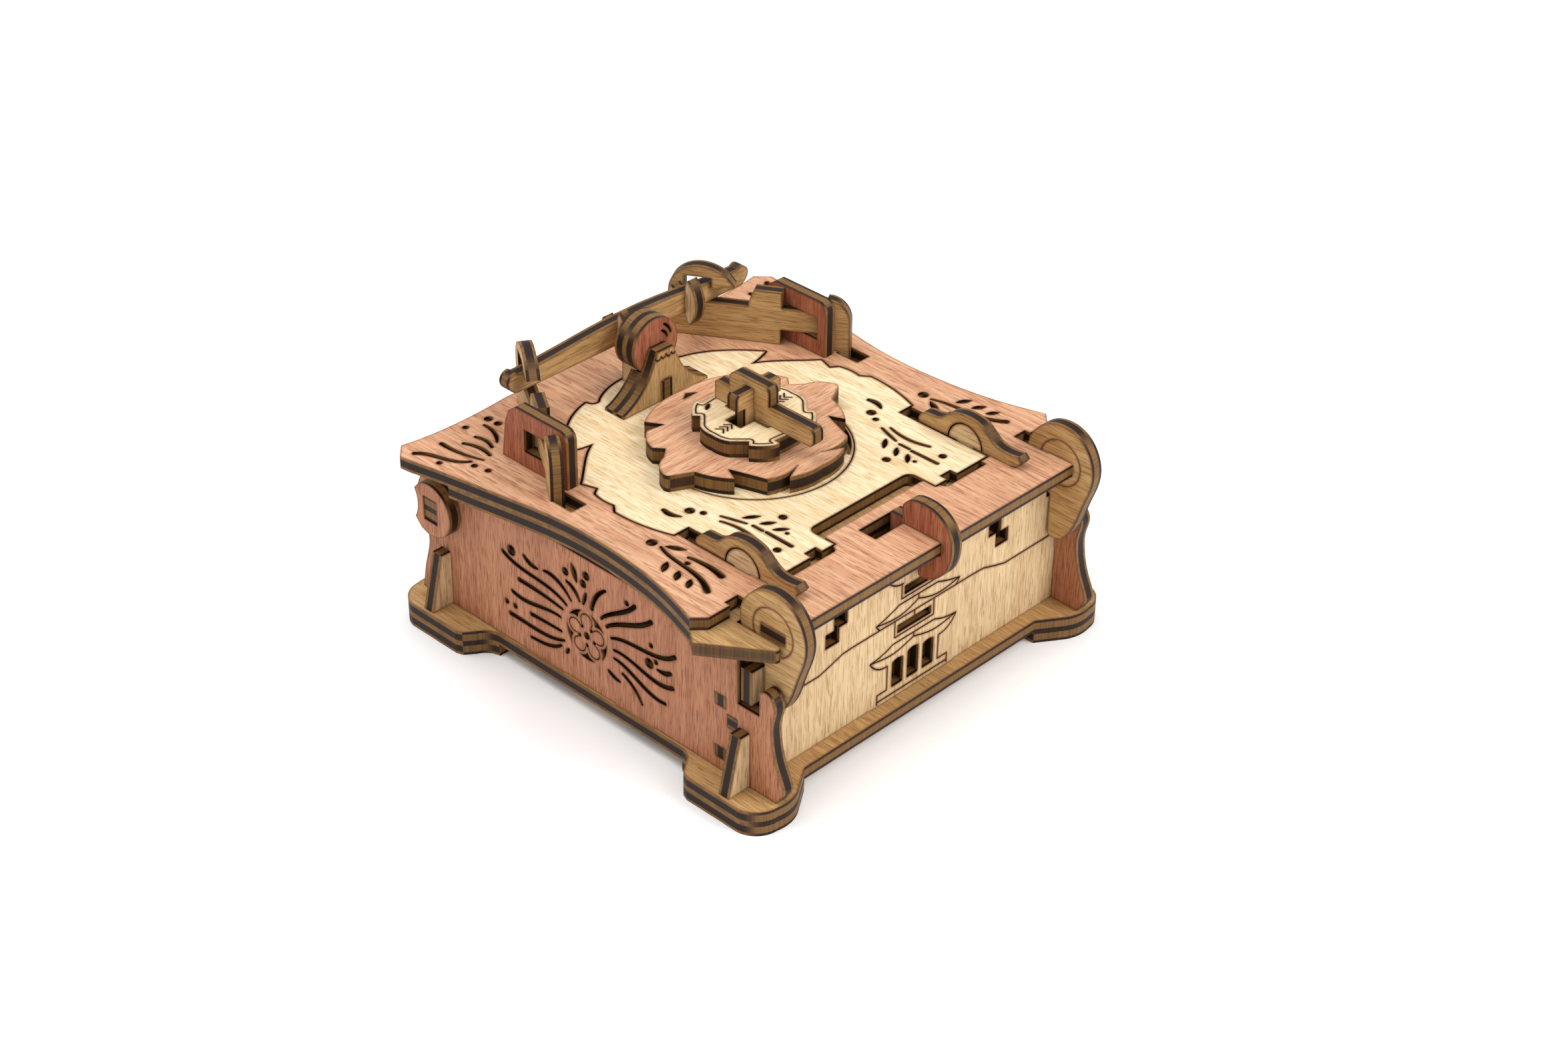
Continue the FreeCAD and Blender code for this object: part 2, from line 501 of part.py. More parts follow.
# ---- corner levers and their hubs ----
lever_path = [(-47.8, 25.2), (-47.8, 35.2), (-44.2, 37.2, "m"), (-41.4, 41.4), (-41.0, 45.4, "s"),
    (-43.4, 50.1, "s"),
              (-46.6, 52.4, "s"), (-50.5, 53.1, "s"), (-54.6, 51.9, "s"), (-57.6, 48.6, "s"),
              (-58.8, 44.4, "s"),
              (-58.2, 40.0, "s"), (-56.6, 35.4, "s"), (-55.2, 31.0, "s"), (-53.4, 27.2, "s"),
              (-51.2, 24.9, "s"), (-48.4, 24.5)]
lever_hole = circle(LEVER_Y, LEVER_Z, LEVER_HUB_R + 0.1)
save_pair(facing_x(lever_path, LEVER_X, [lever_hole]), "corner_lever")
hub_slot = box_path(STRIP_Y, -46.6, LID_Z, TOP_Z)
save_pair(facing_x(circle(LEVER_Y, LEVER_Z, LEVER_HUB_R), LEVER_X, [hub_slot]), "corner_hub")

# ---- low levers on their half-sunk hubs ----
low_path = [(LOW_Y + LOW_HUB_R + 0.35, TOP_Z), (-18.6, TOP_Z), (-18.2, 45.8), (-18.6, 46.8),
    (-20.0, 47.8, "s"),
            (-22.6, 48.0, "s"), (-24.4, 48.5, "s"), (-26.4, 50.2, "s"), (-29.4, 51.6, "s"),
            (-32.6, 51.9, "s"),
            (-35.8, 51.2, "s"), (-38.2, 49.4, "s"), (-40.6, 48.0, "s"), (-43.6, 47.7, "s"), (-46.2, 48.0),
            (-47.3, 47.0), (-46.4, TOP_Z + 0.7), (-44.0, TOP_Z),
            (LOW_Y - LOW_HUB_R - 0.35, TOP_Z), (LOW_Y, TOP_Z + LOW_HUB_R + 0.35, "m")]
save_pair(facing_x(low_path, LOW_X), "low_lever")
low_hub = [(LOW_Y - 2.3, LOWER_Z), (LOW_Y + 2.3, LOWER_Z), (LOW_Y + 2.3, TOP_Z), (LOW_Y + LOW_HUB_R, TOP_Z),
           (LOW_Y, TOP_Z + LOW_HUB_R, "m"), (LOW_Y - LOW_HUB_R, TOP_Z), (LOW_Y - 2.3, TOP_Z)]
save_pair(facing_x(low_hub, LOW_X), "low_hub")

# ---- sliding key, clipped over the front strip, with its tongue and latch ----
key_path = [
    (-42.8, 46.4), (-42.8, 49.4), (-44.4, 51.2, "s"), (-48.3, 52.0, "s"), (-52.2, 51.2, "s"),
    (-55.0, 49.0, "s"),
    (-56.4, 46.0, "s"), (-56.5, 43.0, "s"), (-55.8, 40.0, "s"), (-54.2, 37.3, "s"), (-51.2, 34.9, "s"),
    (-48.2, 34.3),
    (-47.7, 34.6), (-47.7, LID_Z - 0.2), (STRIP_Y - 0.2, LID_Z - 0.2), (STRIP_Y - 0.2, TOP_Z + 0.1),
    (-42.9, TOP_Z + 0.1),
    (-42.9, 22.0), (-41.8, 22.0), (-41.8, 18.0), (-39.6, 18.0), (-39.6, 46.4)]
save(facing_x(key_path, KEY_X), "key")
latch_hole = box_path(KEY_X, KEY_X + PLY, -41.8, -39.6)
save(sheet(box_path(-3.5, 6.5, -43.0, -37.4), [latch_hole], low=18.0), "key_latch")

# ---- rotor: flush disc, leaf-edged wheel and retainer under the lid ----
crescents = []
for start, stop in ((100, 178), (305, 345)):
    arc = []
    for i in range(7):
        a = math.radians(start + (stop - start) * i / 6)
        arc.append(((ROTOR_R - 0.9) * math.cos(a), (ROTOR_R - 0.9) * math.sin(a)))
    crescents.append(stroke(arc, [0.6, 0.9, 1.1, 1.2, 1.1, 0.9, 0.6]))
pivot_hole = circle(0, 0, PIVOT_R + 0.1)
save(sheet(circle(0, 0, ROTOR_R), crescents, low=LID_Z), "rotor_disc")
save(sheet(circle(0, 0, ROTOR_HUB_R), low=LOWER_Z), "rotor_hub")
save(sheet(circle(0, 0, 12.0), low=LOWER_Z - 0.2 - PLY, thick=PLY + 0.2), "rotor_retainer")
half_leaf = [
    (0.0, -20.2), (4.2, -20.1, "s"), (8.3, -18.7), (6.2, -17.7, "s"), (3.5, -16.5), (8.0, -17.2, "s"),
    (12.2, -16.0),
    (13.9, -11.0, "s"), (15.2, -7.4), (16.9, -11.0), (19.6, -7.0, "s"), (20.9, -3.2), (25.6, -0.8),
    (26.2, 0.2, "m"),
    (26.0, 1.2), (24.2, 4.0, "s"), (21.5, 5.4), (18.8, 7.6), (20.6, 9.8), (19.0, 13.5, "s"),
    (16.6, 15.6), (12.2, 14.8),
    (14.6, 18.6), (9.0, 21.4, "s"), (0.0, 22.4)]
save(sheet(mirrored(half_leaf), [pivot_hole, [(-2.2, 19.4), (2.2, 19.4),
    (0.0, 21.0)]], WHEEL_PLY, TOP_Z), "leaf_wheel")

# ---- dial with its plus-shaped hole and crossed handle ----
DIAL_Z = TOP_Z + WHEEL_PLY
HANDLE_Z = DIAL_Z + WHEEL_PLY
dial_quarter = [(0.0, -11.1), (2.0, -11.1), (4.9, -10.8), (4.8, -12.3), (6.0, -12.2), (8.3, -10.6, "m"),
    (10.1, -8.4),
                (8.9, -7.3), (11.8, -4.4), (12.6, -2.0, "m"), (12.6, 0.0)]
dial_half = dial_quarter + [(node[0], -node[1]) + tuple(node[2:]) for node in reversed(dial_quarter[:-1])]
dial_wire = outline(mirrored(dial_half))
plus = [(2.3, -6.4), (2.3, -2.3), (6.4, -2.3), (6.4, 2.3), (2.3, 2.3), (2.3, 6.4)]
dial = sheet(dial_wire, [mirrored(plus), leaf((-6.4, 8.0), (-4.0, 9.6), 1.0), leaf((6.4, 8.0),
    (4.0, 9.6), 1.0)],
             WHEEL_PLY, DIAL_Z)
rim = Part.Face(dial_wire.makeOffset2D(-0.8)).extrude(V(0, 0, 1))
rim = rim.cut([Part.Face(dial_wire.makeOffset2D(-1.1)).extrude(V(0, 0, 1))])
rim.translate(V(0, 0, HANDLE_Z - 0.3))
chevrons = []
for k in range(3):
    for side in (-1, 1):
        x = -10.4 + 1.25 * k
        chevrons += line_cut([(side * x, -1.2), (side * (x + 1.2), 0.0), (side * x, 1.2)])
save(engrave(dial.cut([rim]), chevrons, HANDLE_Z), "dial")
save(sheet(circle(0, 0, PIVOT_R), low=TOP_Z, thick=WHEEL_PLY), "dial_pivot")
LAP_Z = 55.0
long_path = [
    (-6.2, DIAL_Z), (-1.5, DIAL_Z), (-1.5, LAP_Z), (1.5, LAP_Z), (1.5, DIAL_Z), (6.2, DIAL_Z),
    (6.2, HANDLE_Z), (10.3, HANDLE_Z),
    (10.3, 57.2), (9.9, 57.6), (6.0, 57.6), (6.0, 59.4), (5.4, 61.3, "m"), (3.6, 62.0), (-4.2, 62.0),
    (-5.3, 61.5, "m"),
    (-5.7, 60.4), (-5.7, 57.3), (-17.6, 57.3), (-18.4, 56.8, "m"), (-18.8, 55.9), (-18.8, 54.0),
    (-18.0, HANDLE_Z),
    (-6.2, HANDLE_Z)]
save(facing_x(long_path, -PLY / 2), "handle_long")
short_path = [(-1.5, DIAL_Z), (1.5, DIAL_Z), (4.2, DIAL_Z), (4.2, 56.4), (6.5, 56.4), (6.5, 59.5),
    (5.9, 60.2), (1.5, 60.2),
              (1.5, LAP_Z), (-1.5, LAP_Z), (-1.5, 60.2), (-5.9, 60.2), (-6.5, 59.5), (-6.5, 56.4),
              (-4.2, 56.4), (-4.2, DIAL_Z)]
save(facing_y(short_path, -PLY / 2), "handle_short")

# ---- mountain bracket, its stay and the sun disc ----
slope = [(12.8, TOP_Z), (12.7, 45.7), (9.2, 47.5, "s"), (5.6, 51.0, "s"), (3.4, 55.0, "s"), (2.3, 57.6)]
slot_w = 1.5
mountain = mirrored([(slot_w, 50.2), (slot_w, TOP_Z)] + slope)
snow = curve_cut([(-2.9, 56.0), (-2.2, 55.5), (-1.4, 56.2)]) + curve_cut([(-1.4, 56.2), (-0.7, 55.6),
    (0.1, 56.4)])
snow += curve_cut([(0.1, 56.4), (0.9, 55.5), (1.7, 56.2)]) + curve_cut([(1.7, 56.2), (2.2, 55.6),
    (2.9, 56.0)])
front_ply = engrave(sheet(mountain, low=-PLY), snow, 0.0)
save(turned(front_ply, (1, 0, 0), (0, 0, 1), (0, MOUNTAIN_Y, 0)), "mountain_front")
seat = circle(0, SUN_Z, SUN_R + 0.3)
save(facing_y(mountain, MOUNTAIN_Y + PLY, [seat]), "mountain_back")
sun_y = MOUNTAIN_Y + PLY + 0.15
PEG = 1.5
marks = [stroke([(2.6, 61.6), (3.8, 60.5), (4.6, 58.9)], [0.5, 0.7, 0.5]),
         stroke([(1.9, 60.2), (2.9, 59.4), (3.5, 58.2)], [0.5, 0.7, 0.5])]
save(facing_y(circle(0, SUN_Z, SUN_R), sun_y, marks), "sun_front")
save(facing_y(circle(0, SUN_Z, SUN_R), sun_y + PLY,
    [circle(0, SUN_Z, PEG * math.sqrt(2) + 0.08)]), "sun_back")
sun_stay_path = [(26.6, TOP_Z), (39.4, TOP_Z), (39.4, 58.8), (33.4, SUN_Z + PEG), (33.4, SUN_Z - PEG),
    (36.8, SUN_Z - PEG),
             (36.8, 50.2), (26.6, 50.2)]
sun_stay = facing_x(sun_stay_path, -PLY / 2)
save(sun_stay, "sun_stay")

# ---- rear rail and its two cross pins ----
RAIL_SHIFT = 2.6             # the rail was pushed a little to the right through the hooks
rail_path = mirrored([(0.0, 54.0), (33.6, 54.0), (35.5, 55.0, "m"), (36.3, 56.8), (35.6, 58.3, "m"),
    (34.0, 58.9),
                      (33.0, 58.3), (24.0, 58.6, "s"), (12.0, 59.5, "s"), (0.0, 59.9)])
pin_x = (-2.0, 18.8)
pin_holes = [box_path(x, x + PLY, 55.2, 58.0) for x in pin_x]
rail_path = [(node[0] + RAIL_SHIFT,) + tuple(node[1:]) for node in rail_path]
save(facing_y(rail_path, RAIL_Y, pin_holes), "rear_rail")
pin_path = [(39.6, 62.2), (36.9, 56.7, "m"), (39.2, 51.0), (RAIL_Y, 53.4), (RAIL_Y, 55.2),
    (RAIL_Y + PLY, 55.2),
            (44.9, 54.0), (45.6, 56.6, "m"), (44.9, 59.2), (RAIL_Y + PLY, 58.0), (RAIL_Y, 58.0),
            (RAIL_Y, 60.4)]
for name, x in zip(("rail_pin_left", "rail_pin_right"), pin_x):
    save(facing_x(pin_path, x).cut(sun_stay), name)

# ---- lap blocks and slanted posts with hooked heads ----
block_path = [(14.6, TOP_Z), (35.0, TOP_Z), (34.8, 47.0), (33.8, 54.0), (32.6, 57.0), (30.5, 58.6), (17.0, 58.6),
              (15.2, 57.9, "m"), (14.6, 56.4)]
lap_block = facing_x(block_path, BLOCK_X, [box_path(17.1, 27.9, 48.8, 54.3)])
save_pair(lap_block, "lap_block")
gap = (33.2, 39.6)
post_path = [
    (1.3, LID_Z), (5.2, LID_Z), (5.2, TOP_Z), (7.2, TOP_Z), (7.2, 48.9), (17.2, 48.9), (17.2, TOP_Z),
    (43.4, TOP_Z),
    (43.4, 55.0), (43.2, 57.4), (41.4, 60.6, "s"), (37.4, 62.7, "s"), (33.2, 62.4, "s"), (29.6, 60.4),
    (28.0, 58.4),
    (31.0, 57.9), (gap[0], 57.0), (gap[0], 60.1), (gap[1], 60.1), (gap[1], 53.9), (24.8, 53.9),
    (24.4, 56.0), (23.4, 58.3),
    (17.0, 58.3), (17.0, 54.2), (7.0, 54.2), (6.7, 57.8), (4.0, 57.2, "s"), (2.2, 55.4, "s"), (1.3, 52.0)]
run = math.hypot(POST_DIR[0], POST_DIR[1])
along = (POST_DIR[0] / run, POST_DIR[1] / run, 0)
post = turned(sheet(post_path, low=-PLY / 2), along, (0, 0, 1), (POST_FOOT[0], POST_FOOT[1], 0))
save_pair(post.cut([lap_block, lid_top]), "post")
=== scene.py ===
# %% [markdown]
# # A laser-cut plywood puzzle box
# The box is a kit of flat plywood pieces that slot together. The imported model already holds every
# piece with its true outline, so this lesson keeps those meshes and spends its effort on the wood:
# face grain, pores, the three layers that show at a cut edge, and the scorch that the laser leaves.

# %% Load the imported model
import json
import math
import bpy
from mathutils import Matrix, Vector

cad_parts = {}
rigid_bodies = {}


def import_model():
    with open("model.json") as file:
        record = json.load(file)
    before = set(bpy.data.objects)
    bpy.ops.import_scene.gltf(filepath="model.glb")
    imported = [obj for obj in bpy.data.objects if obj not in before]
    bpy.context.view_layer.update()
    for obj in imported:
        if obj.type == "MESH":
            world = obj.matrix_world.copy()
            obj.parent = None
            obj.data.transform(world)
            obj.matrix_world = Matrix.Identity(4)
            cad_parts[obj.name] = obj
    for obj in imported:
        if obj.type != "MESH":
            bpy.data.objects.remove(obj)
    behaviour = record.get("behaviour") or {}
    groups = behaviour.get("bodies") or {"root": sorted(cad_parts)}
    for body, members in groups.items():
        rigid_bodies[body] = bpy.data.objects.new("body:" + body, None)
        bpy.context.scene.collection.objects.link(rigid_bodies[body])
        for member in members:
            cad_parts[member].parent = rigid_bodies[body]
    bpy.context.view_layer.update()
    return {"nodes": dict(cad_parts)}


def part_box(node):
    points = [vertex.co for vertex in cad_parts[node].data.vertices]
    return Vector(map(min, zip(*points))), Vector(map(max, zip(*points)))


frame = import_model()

# %% [markdown]
# Colours are picked as sRGB hex values, the way a paint chart gives them. The shader works in
# linear light, so one function turns each of them to linear. A second small function adds a
# shader node with its settings and links, which keeps the recipes below short.


# %% Colour and node helpers
def linear(hex_colour):
    channels = [int(hex_colour[i:i + 2], 16) / 255 for i in (1, 3, 5)]
    return tuple(c / 12.92 if c <= 0.04045 else ((c + 0.055) / 1.055) ** 2.4 for c in channels) + (1.0,)


def add_node(tree, kind, inputs=None, **settings):
    """Add a node; inputs maps a socket name or number to a value or to another node's output."""
    node = tree.nodes.new(kind)
    for key, value in settings.items():
        setattr(node, key, value)
    for key, value in (inputs or {}).items():
        if isinstance(value, bpy.types.NodeSocket):
            tree.links.new(value, node.inputs[key])
        else:
            node.inputs[key].default_value = value
    return node


print("helpers ready")

# %% [markdown]
# The sheet is three-ply plywood. Two thin face veneers share one grain direction and the thicker
# core runs across them. Where the laser cuts along a layer's fibres it leaves them golden, and
# where it cuts across them, the open fibre ends char almost black. So the dark and the golden
# layers swap places as an outline turns, and that striped edge is what makes laser-cut plywood
# look real. The recipe reads the height in the sheet and the direction of the surface to decide.
# The face itself has long streaks of early and late wood, and short dark pores about 0.15 mm wide,
# drawn 0.25 mm wide here so that they show. Beside each cut the heat has browned a rim of the face
# about half a millimetre wide. The ambient occlusion node, looking inwards, finds those rims.

# %% Finishes and burnt colours
MM = 0.001
FINISHES = {
    "okoume stained rose": ("#C48F6C", "#8A5338", "#D6A884"),
    "okoume stained brick": ("#A56A4A", "#673624", "#B67D5B"),
    "basswood": ("#E0C69A", "#BE9660", "#ECDAB6"),
    "birch plywood": ("#C9AA7E", "#98734A", "#D9BE95"),
    "oiled birch": ("#B18956", "#7F5A31", "#C49F6C"),
    "oiled mahogany": ("#96543A", "#5E2C1C", "#AA6A4C"),
}
CHAR = "#1C0A06"
GOLD = "#986E38"
SCORCH = "#6E4022"
GOLD_SHADE = "#7C5A33"


def math_node(tree, operation, a, b=0.5, c=0.0):
    return add_node(tree, "ShaderNodeMath", {0: a, 1: b, 2: c}, operation=operation).outputs[0]


def dot(tree, vector, axis):
    node = add_node(tree, "ShaderNodeVectorMath", {0: vector, 1: axis}, operation="DOT_PRODUCT")
    return node.outputs["Value"]


def ramp(tree, value, low, high):
    """0 below low, 1 above high, smooth between."""
    node = add_node(tree, "ShaderNodeMapRange", {0: value, 1: low, 2: high, 3: 0.0, 4: 1.0},
                    interpolation_type="SMOOTHSTEP")
    return node.outputs[0]


def mix(tree, factor, a, b):
    return add_node(tree, "ShaderNodeMix", {0: factor, 6: a, 7: b}, data_type="RGBA").outputs[2]


print("finishes", ", ".join(FINISHES))

# %% [markdown]
# The recipe is cut into three parts. The first measures where a point lies in the sheet. The second
# paints the face veneer: streaks, pores and slow clouds of colour. The third paints what the laser
# cut: the striped edge, and the floors of the engraved lines.


# %% Where a point lies in the sheet
UNTOUCHED_FACE = (0.478, 0.49)


def place_in_sheet(tree, across, low, thick):
    """Object position, surface direction, distance from mid-sheet, flatness and whether it is veneer."""
    place = add_node(tree, "ShaderNodeTexCoord")
    spot, normal = place.outputs["Object"], place.outputs["Normal"]
    depth = math_node(tree, "SUBTRACT", dot(tree, spot, across), low)
    depth = math_node(tree, "DIVIDE", depth, thick)
    from_middle = math_node(tree, "ABSOLUTE", math_node(tree, "SUBTRACT", depth, 0.5))
    flat = ramp(tree, math_node(tree, "ABSOLUTE", dot(tree, normal, across)), 0.6, 0.8)
    outer = ramp(tree, from_middle, *UNTOUCHED_FACE)
    return spot, normal, from_middle, flat, outer


def stretched_noise(tree, along, sideways, along_rate, sideways_rate, offset, detail, roughness):
    """Noise drawn out along the grain; the rates are features per millimetre."""
    at = add_node(tree, "ShaderNodeCombineXYZ", {
        0: math_node(tree, "MULTIPLY", along, along_rate),
        1: math_node(tree, "MULTIPLY", sideways, sideways_rate), 2: offset}).outputs[0]
    return add_node(tree, "ShaderNodeTexNoise", {
        "Vector": at, "Scale": 1.0, "Detail": detail, "Roughness": roughness}).outputs[0]


print("sheet helpers ready")

# %% [markdown]
# The veneer is peeled wood: long streaks of early and late growth, short dark pores, and slow
# changes of tone. Noise drawn out along the grain gives the first two, with rates set in features
# per millimetre, first along the grain and then across it.


# %% The face veneer
SCORCH_REACH = 0.6 * MM
STREAKS_PER_MM = (0.022, 0.75)
PORES_PER_MM = (0.22, 3.6)
PORE_STRENGTH, CLOUD_STRENGTH, SCORCH_STRENGTH = 0.68, 0.25, 0.7


def veneer(tree, finish, spot, grain, side, seed):
    """The face colour, with the streaks, fibres and pores that other parts of the recipe reuse."""
    tone, pore_tone, pale_tone = (linear(h) for h in FINISHES[finish])
    along = math_node(tree, "MULTIPLY", dot(tree, spot, grain), 1 / MM)
    sideways = math_node(tree, "MULTIPLY", dot(tree, spot, side), 1 / MM)
    streak = stretched_noise(tree, along, sideways, *STREAKS_PER_MM, seed * 3.7, 4.0, 0.6)
    fine = stretched_noise(tree, along, sideways, *PORES_PER_MM, seed * 1.9, 2.0, 0.55)
    cloud = add_node(tree, "ShaderNodeTexNoise", {"Vector": spot, "Scale": 45.0, "Detail": 2.0}).outputs[0]
    pores = ramp(tree, fine, 0.5, 0.64)
    wood = mix(tree, ramp(tree, streak, 0.35, 0.65), tone, pale_tone)
    wood = mix(tree, math_node(tree, "MULTIPLY", pores, PORE_STRENGTH), wood, pore_tone)
    clouded = math_node(tree, "MULTIPLY", ramp(tree, cloud, 0.45, 0.8), CLOUD_STRENGTH)
    wood = mix(tree, clouded, wood, pore_tone)
    closed_in = add_node(tree, "ShaderNodeAmbientOcclusion", {"Distance": SCORCH_REACH}, samples=6,
                         inside=True, only_local=True).outputs["AO"]
    rim = ramp(tree, math_node(tree, "SUBTRACT", 1.0, closed_in), 0.04, 0.36)
    wood = mix(tree, math_node(tree, "MULTIPLY", rim, SCORCH_STRENGTH), wood, linear(SCORCH))
    return wood, streak, fine, pores


print("veneer ready")

# %% [markdown]
# The laser burns fibres that it cuts across and only warms those it runs along. So a layer's
# burn follows the direction of the edge, and the core's is the opposite of the veneer's. Nothing
# is left unburnt, which the burn floor gives, and the floor of an engraved line is all char.


# %% The cut edge and the engraved lines
VENEER_STARTS = (0.25, 0.31)
BURN_CONTRAST, BURN_FLOOR, GROOVE_CHAR = 0.62, 0.36, 0.95


def cut_edge(tree, normal, grain, from_middle, flat, outer, fine):
    end_grain = ramp(tree, math_node(tree, "ABSOLUTE", dot(tree, normal, grain)), 0.35, 0.85)
    wobble = math_node(tree, "MULTIPLY", math_node(tree, "SUBTRACT", fine, 0.5), 0.05)
    in_veneer = ramp(tree, math_node(tree, "ADD", from_middle, wobble), *VENEER_STARTS)
    burnt_veneer = math_node(tree, "MULTIPLY", in_veneer, end_grain)
    burnt_core = math_node(tree, "MULTIPLY", math_node(tree, "SUBTRACT", 1.0, in_veneer),
                           math_node(tree, "SUBTRACT", 1.0, end_grain))
    burnt = math_node(tree, "ADD", burnt_veneer, burnt_core)
    burnt = math_node(tree, "ADD", math_node(tree, "MULTIPLY", burnt, BURN_CONTRAST), BURN_FLOOR)
    groove = math_node(tree, "MULTIPLY", flat, math_node(tree, "SUBTRACT", 1.0, outer))
    burnt = math_node(tree, "MAXIMUM", burnt, math_node(tree, "MULTIPLY", groove, GROOVE_CHAR))
    speck = mix(tree, ramp(tree, fine, 0.4, 0.65), linear(GOLD), linear(GOLD_SHADE))
    return mix(tree, burnt, speck, linear(CHAR))


print("cut edge ready")


# %% Put the recipe together
PORE_DEPTH = 0.06 * MM


def plywood(finish, across, low, thick, grain, seed):
    """across: unit vector through the sheet; low: where the sheet starts along it; grain: face grain."""
    material = bpy.data.materials.new(finish + " %02d" % seed)
    material.use_nodes = True
    tree = material.node_tree
    tree.nodes.clear()
    side = tuple(Vector(across).cross(Vector(grain)).normalized())
    spot, normal, from_middle, flat, outer = place_in_sheet(tree, across, low, thick)
    wood, streak, fine, pores = veneer(tree, finish, spot, grain, side, seed)
    edge = cut_edge(tree, normal, grain, from_middle, flat, outer, fine)
    colour = mix(tree, math_node(tree, "MULTIPLY", flat, outer), edge, wood)
    height = math_node(tree, "MULTIPLY", pores, -1.0)
    bump = add_node(tree, "ShaderNodeBump", {"Height": height, "Strength": 0.25, "Distance": PORE_DEPTH})
    rough = add_node(tree, "ShaderNodeMapRange", {0: streak, 3: 0.5, 4: 0.68}).outputs[0]
    shader = add_node(tree, "ShaderNodeBsdfPrincipled", {
        "Base Color": colour, "Roughness": rough, "IOR": 1.5, "Specular IOR Level": 0.25,
        "Normal": bump.outputs[0]})
    add_node(tree, "ShaderNodeOutputMaterial", {"Surface": shader.outputs[0]})
    return material


print("plywood recipe ready")

# %% [markdown]
# Each piece is told how it was laid on the sheet: through which axis its thickness runs and which
# way its face grain goes. Pieces cut from the same coloured sheet share a finish.

# %% Dress every piece
X, Y, Z = (1, 0, 0), (0, 1, 0), (0, 0, 1)
AXES = {"X": X, "Y": Y, "Z": Z}
LAYING = {
    "base_plate": ("oiled birch", "Z", Y), "foot_pad": ("oiled birch", "Z", Y),
    "floor_liner": ("birch plywood", "Z", X), "side_panel": ("okoume stained brick", "X", Z),
    "front_panel": ("birch plywood", "Y", Z), "front_upper": ("birch plywood", "Y", Z),
    "rear_panel": ("birch plywood", "Y", Z), "rear_upper": ("birch plywood", "Y", X),
    "corner_stay": ("oiled mahogany", "Y", Z), "stay_wedge": ("oiled mahogany", "Z", Y),
    "catch_block": ("birch plywood", "Z", X), "lid_top": ("okoume stained rose", "Z", Y),
    "lid_lower": ("oiled birch", "Z", Y), "lid_insert": ("basswood", "Z", Y),
    "rotor_disc": ("basswood", "Z", Y), "rotor_hub": ("birch plywood", "Z", Y),
    "rotor_retainer": ("birch plywood", "Z", Y), "leaf_wheel": ("okoume stained rose", "Z", X),
    "dial": ("basswood", "Z", X), "handle": ("oiled birch", "X", Y), "key_latch": ("birch plywood", "Z", X),
    "key": ("oiled mahogany", "X", Z), "corner_lever": ("oiled birch", "X", Y),
    "corner_hub": ("oiled birch", "X", Y), "low_lever": ("oiled birch", "X", Y),
    "low_hub": ("birch plywood", "X", Y), "mountain": ("oiled birch", "Y", Z),
    "sun_front": ("oiled mahogany", "Y", Z), "sun_back": ("oiled mahogany", "Y", Z),
    "sun_stay": ("birch plywood", "X", Y), "rear_rail": ("oiled birch", "Y", X),
    "rail_pin": ("birch plywood", "X", Z), "lap_block": ("oiled mahogany", "X", Z),
    "hinge_bar": ("birch plywood", "Z", X), "bearing_disc": ("oiled mahogany", "X", Z),
    "hinge_cap": ("okoume stained brick", "X", Z), "hinge_arm": ("birch plywood", "X", Z),
    "handle_short": ("oiled birch", "Y", X),
}
SIDEWAYS = {"post_right": (-0.530, 0.848), "post_left": (0.530, 0.848)}


def laying(node):
    best = max((key for key in LAYING if node.startswith(key)), key=len)
    return LAYING[best]


dressed = 0
for seed, node in enumerate(sorted(frame["nodes"])):
    piece = bpy.data.objects[node]
    low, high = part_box(node)
    if node in SIDEWAYS:
        dx, dy = SIDEWAYS[node]
        run = math.hypot(dx, dy)
        across = (dy / run, -dx / run, 0.0)
        heights = [v.co.dot(Vector(across)) for v in piece.data.vertices]
        start, thick = min(heights), max(heights) - min(heights)
        grain, finish = (dx / run, dy / run, 0.0), "oiled birch"
    else:
        finish, letter, grain = laying(node)
        index = "XYZ".index(letter)
        across, start, thick = AXES[letter], low[index], high[index] - low[index]
    coat = plywood(finish, across, start, thick, grain, seed)
    piece.data.materials.clear()
    piece.data.materials.append(coat)
    for polygon in piece.data.polygons:
        polygon.material_index = 0
    dressed += 1
print("dressed", dressed, "pieces")

# %% [markdown]
# The box stands on a plain white table that runs out of sight. A single matt sheet is enough,
# because only the shadows and the colour of the light that it throws back matter.

# %% Table
table_mesh = bpy.data.meshes.new("table")
TABLE_HALF = 4.0
corners = [(x * TABLE_HALF, y * TABLE_HALF, 0) for x, y in ((-1, -1), (1, -1), (1, 1), (-1, 1))]
table_mesh.from_pydata(corners, [], [(0, 1, 2, 3)])
table = bpy.data.objects.new("table", table_mesh)
bpy.context.scene.collection.objects.link(table)
paper = bpy.data.materials.new("matt white paper")
paper.use_nodes = True
paper_shader = paper.node_tree.nodes["Principled BSDF"]
paper_shader.inputs["Base Color"].default_value = linear("#FFFFFF")
paper_shader.inputs["Roughness"].default_value = 0.9
table_mesh.materials.append(paper)
print("table", table.name)


# %% [markdown]
# Two wide soft lights and a white surrounding give pale, short shadows. The surrounding fills
# the pierced patterns with a little light, so their walls still show.


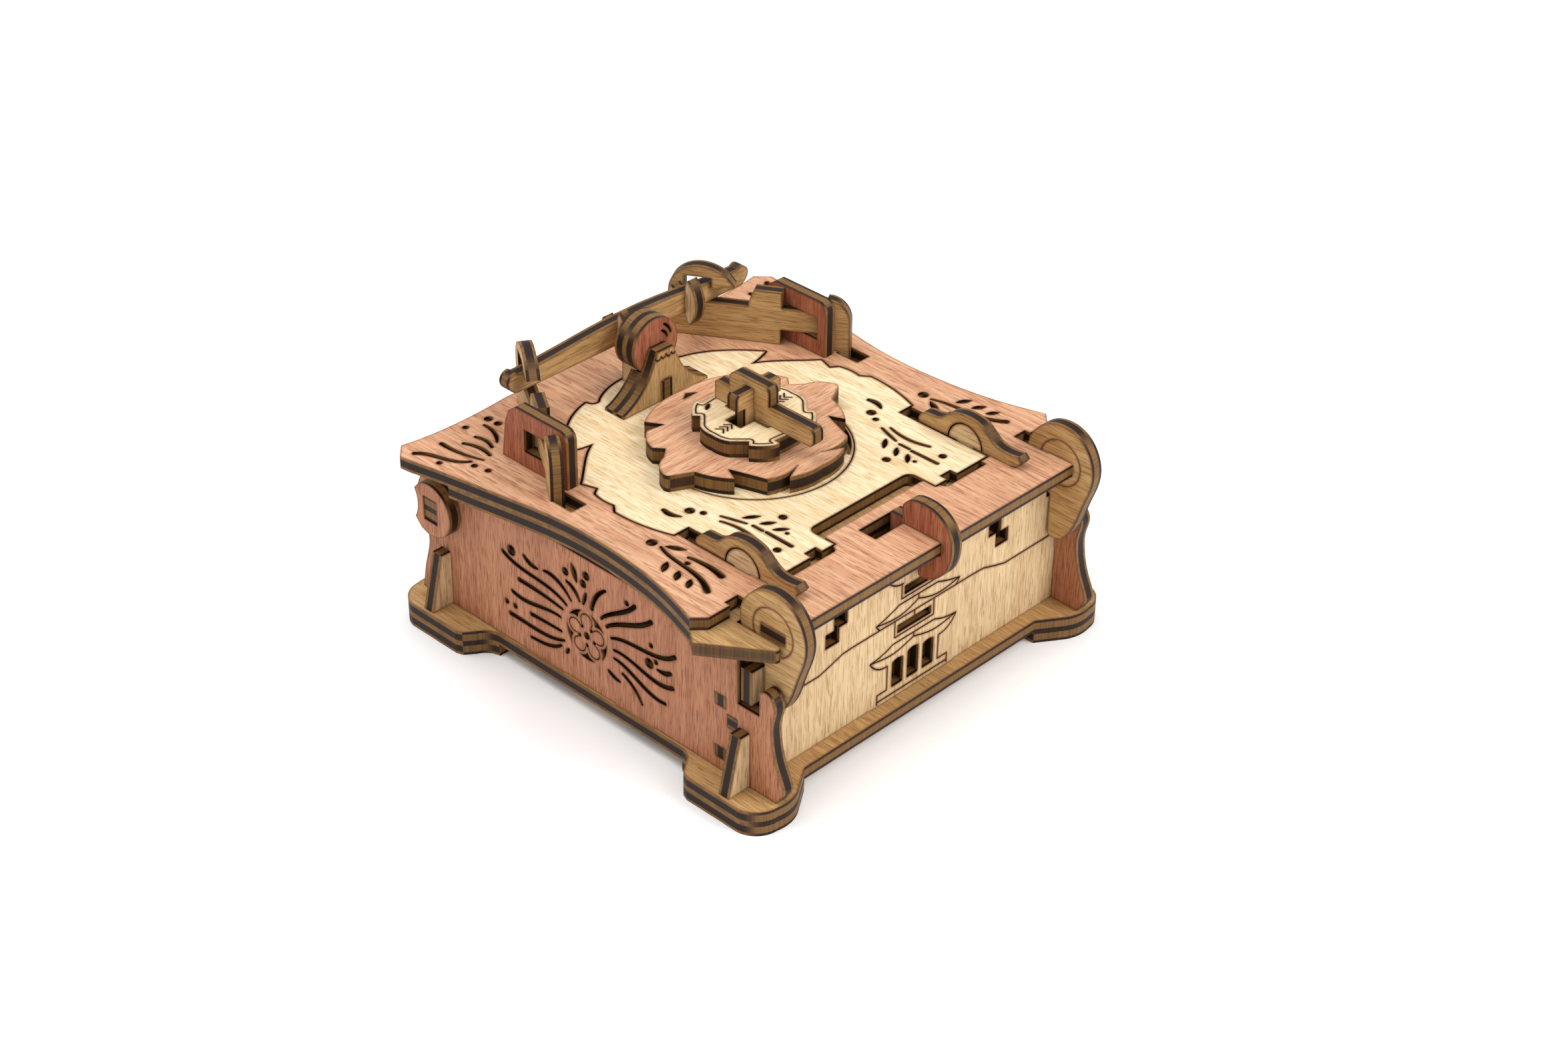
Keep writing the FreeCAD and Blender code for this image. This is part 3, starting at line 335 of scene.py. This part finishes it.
# %% Lights
AIM = Vector((0, 0, 0.03))


def soft_light(name, place, size, power):
    lamp = bpy.data.lights.new(name, "AREA")
    lamp.shape = "DISK"
    lamp.size = size
    lamp.energy = power
    holder = bpy.data.objects.new(name, lamp)
    bpy.context.scene.collection.objects.link(holder)
    holder.location = place
    holder.rotation_euler = (Vector(place) - AIM).to_track_quat("Z", "Y").to_euler()


soft_light("window", (0.35, -0.9, 0.9), 0.6, 8.0)
soft_light("ceiling", (-0.3, 0.3, 1.3), 1.0, 8.0)
world = bpy.data.worlds.new("studio")
bpy.context.scene.world = world
world.use_nodes = True
sky = world.node_tree.nodes["Background"]
sky.inputs[0].default_value = (1.0, 1.0, 1.0, 1.0)
sky.inputs[1].default_value = 0.8
print("lights ready")

# %% [markdown]
# The camera looks down on the left front corner from about half a metre away, with a long lens,
# tipped by less than a degree.

# %% Camera
AZIMUTH, ELEVATION, ROLL = -46.345, 33.468, -0.795
CAMERA_PLACE = (-0.3739, -0.3646, 0.3708)
LENS, SENSOR_WIDTH = 66.02, 36.0
a, e, r = (math.radians(v) for v in (AZIMUTH, ELEVATION, ROLL))
back = Vector((math.sin(a) * math.cos(e), -math.cos(a) * math.cos(e), math.sin(e)))
level = Vector((math.cos(a), math.sin(a), 0.0))
up = back.cross(level)
right_edge = math.cos(r) * level - math.sin(r) * up
top_edge = math.sin(r) * level + math.cos(r) * up
camera_data = bpy.data.cameras.new("camera")
camera_data.sensor_width = SENSOR_WIDTH
camera_data.lens = LENS
camera = bpy.data.objects.new("camera", camera_data)
bpy.context.scene.collection.objects.link(camera)
camera.matrix_world = Matrix((
    (right_edge.x, top_edge.x, back.x, CAMERA_PLACE[0]),
    (right_edge.y, top_edge.y, back.y, CAMERA_PLACE[1]),
    (right_edge.z, top_edge.z, back.z, CAMERA_PLACE[2]),
    (0, 0, 0, 1)))
bpy.context.scene.camera = camera
bpy.context.scene.view_settings.view_transform = "Standard"
print("camera at", tuple(round(v, 3) for v in camera.matrix_world.translation))
